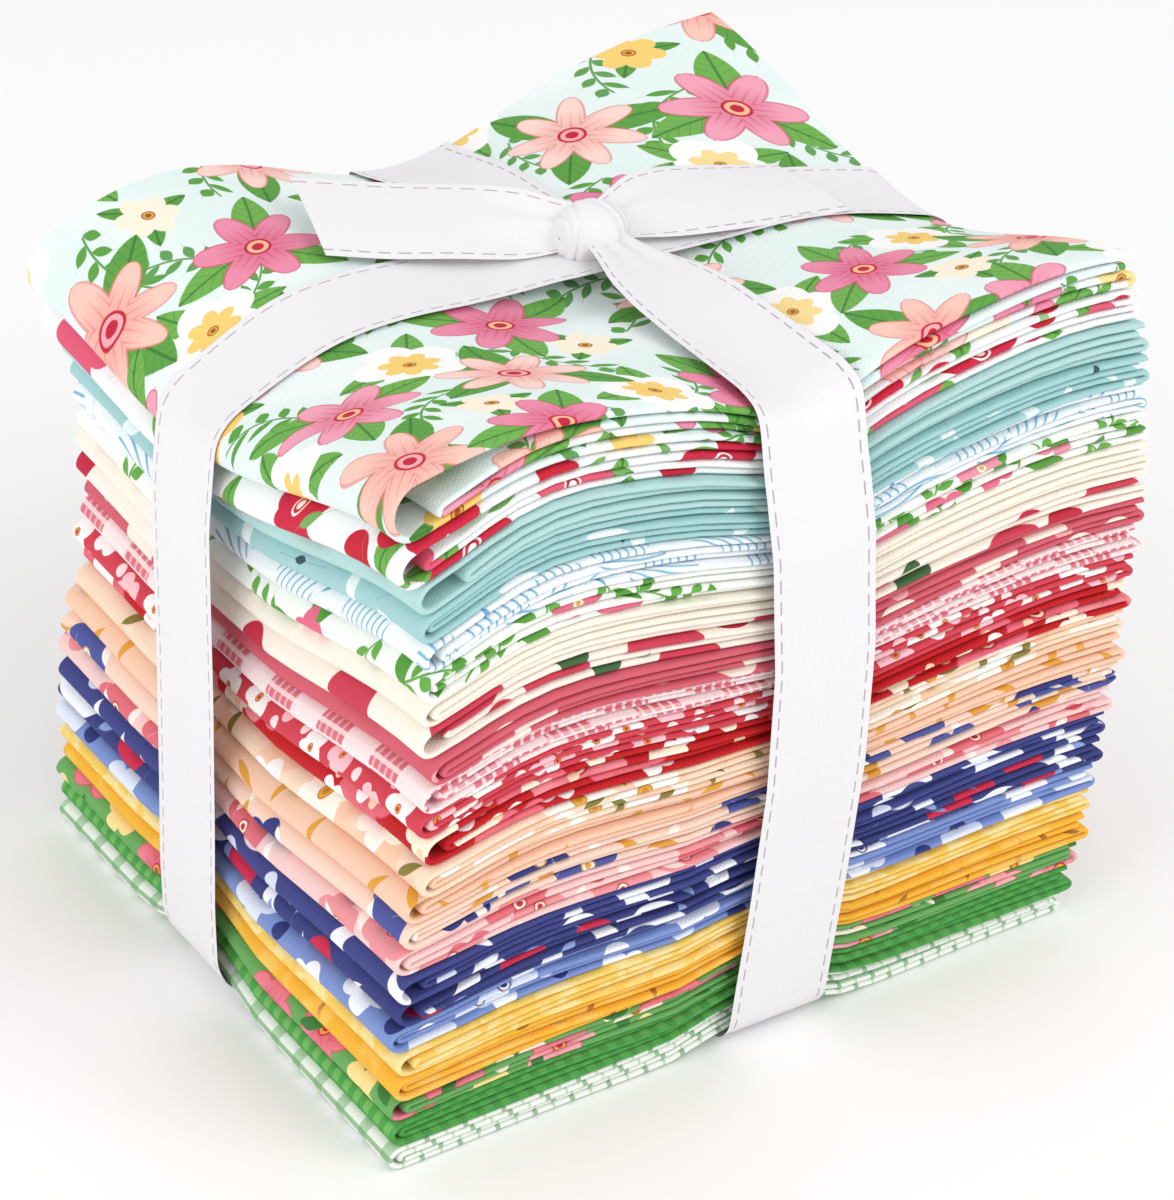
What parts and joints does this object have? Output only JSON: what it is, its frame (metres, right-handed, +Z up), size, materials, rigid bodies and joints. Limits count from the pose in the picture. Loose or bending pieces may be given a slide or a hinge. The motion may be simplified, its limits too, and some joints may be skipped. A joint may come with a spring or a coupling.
{
  "type": "fat quarter bundle",
  "caption": "Stack of folded printed cotton quilting quarters tied both ways with a satin ribbon, knotted on top with two free tails.",
  "frame": {"origin": "under the middle of the bounding box, on the surface that the bundle stands on", "axes": "+X along the longer side of the folded quarters, away from their big round folds; +Z up through the stack"},
  "size_m": [0.1448, 0.1236, 0.1256],
  "materials": {
    "aqua_floral": "matte",
    "white_cherry": "matte",
    "teal_plain": "matte",
    "teal_print": "matte",
    "blue_line": "matte",
    "green_leaf": "matte",
    "cream_plain": "matte",
    "cream_rose": "matte",
    "coral_spot": "matte",
    "coral_check": "matte",
    "coral_ditsy": "matte",
    "crimson_floral": "matte",
    "cream_daisy": "matte",
    "peach_dash": "matte",
    "peach_floral": "matte",
    "pink_rose": "matte",
    "navy_moon": "matte",
    "navy_crescent": "matte",
    "periwinkle_print": "matte",
    "yellow_mottled": "matte",
    "yellow_mark": "matte",
    "green_floral": "matte",
    "green_gingham": "matte",
    "white_plaid": "matte",
    "ribbon_satin": "satin"
  },
  "bodies": {
    "root": {"quarter_01": "aqua_floral", "quarter_02": "white_cherry", "quarter_03": "teal_plain", "quarter_04": "teal_print", "quarter_05": "blue_line", "quarter_06": "green_leaf", "quarter_07": "cream_plain", "quarter_08": "cream_rose", "quarter_09": "coral_spot", "quarter_10": "coral_check", "quarter_11": "coral_ditsy", "quarter_12": "crimson_floral", "quarter_13": "cream_daisy", "quarter_14": "peach_dash", "quarter_15": "peach_floral", "quarter_16": "pink_rose", "quarter_17": "navy_moon", "quarter_18": "navy_crescent", "quarter_19": "periwinkle_print", "quarter_20": "yellow_mottled", "quarter_21": "yellow_mark", "quarter_22": "green_floral", "quarter_23": "green_gingham", "quarter_24": "white_plaid", "ribbon_tie": "ribbon_satin"}
  },
  "joints": []
}
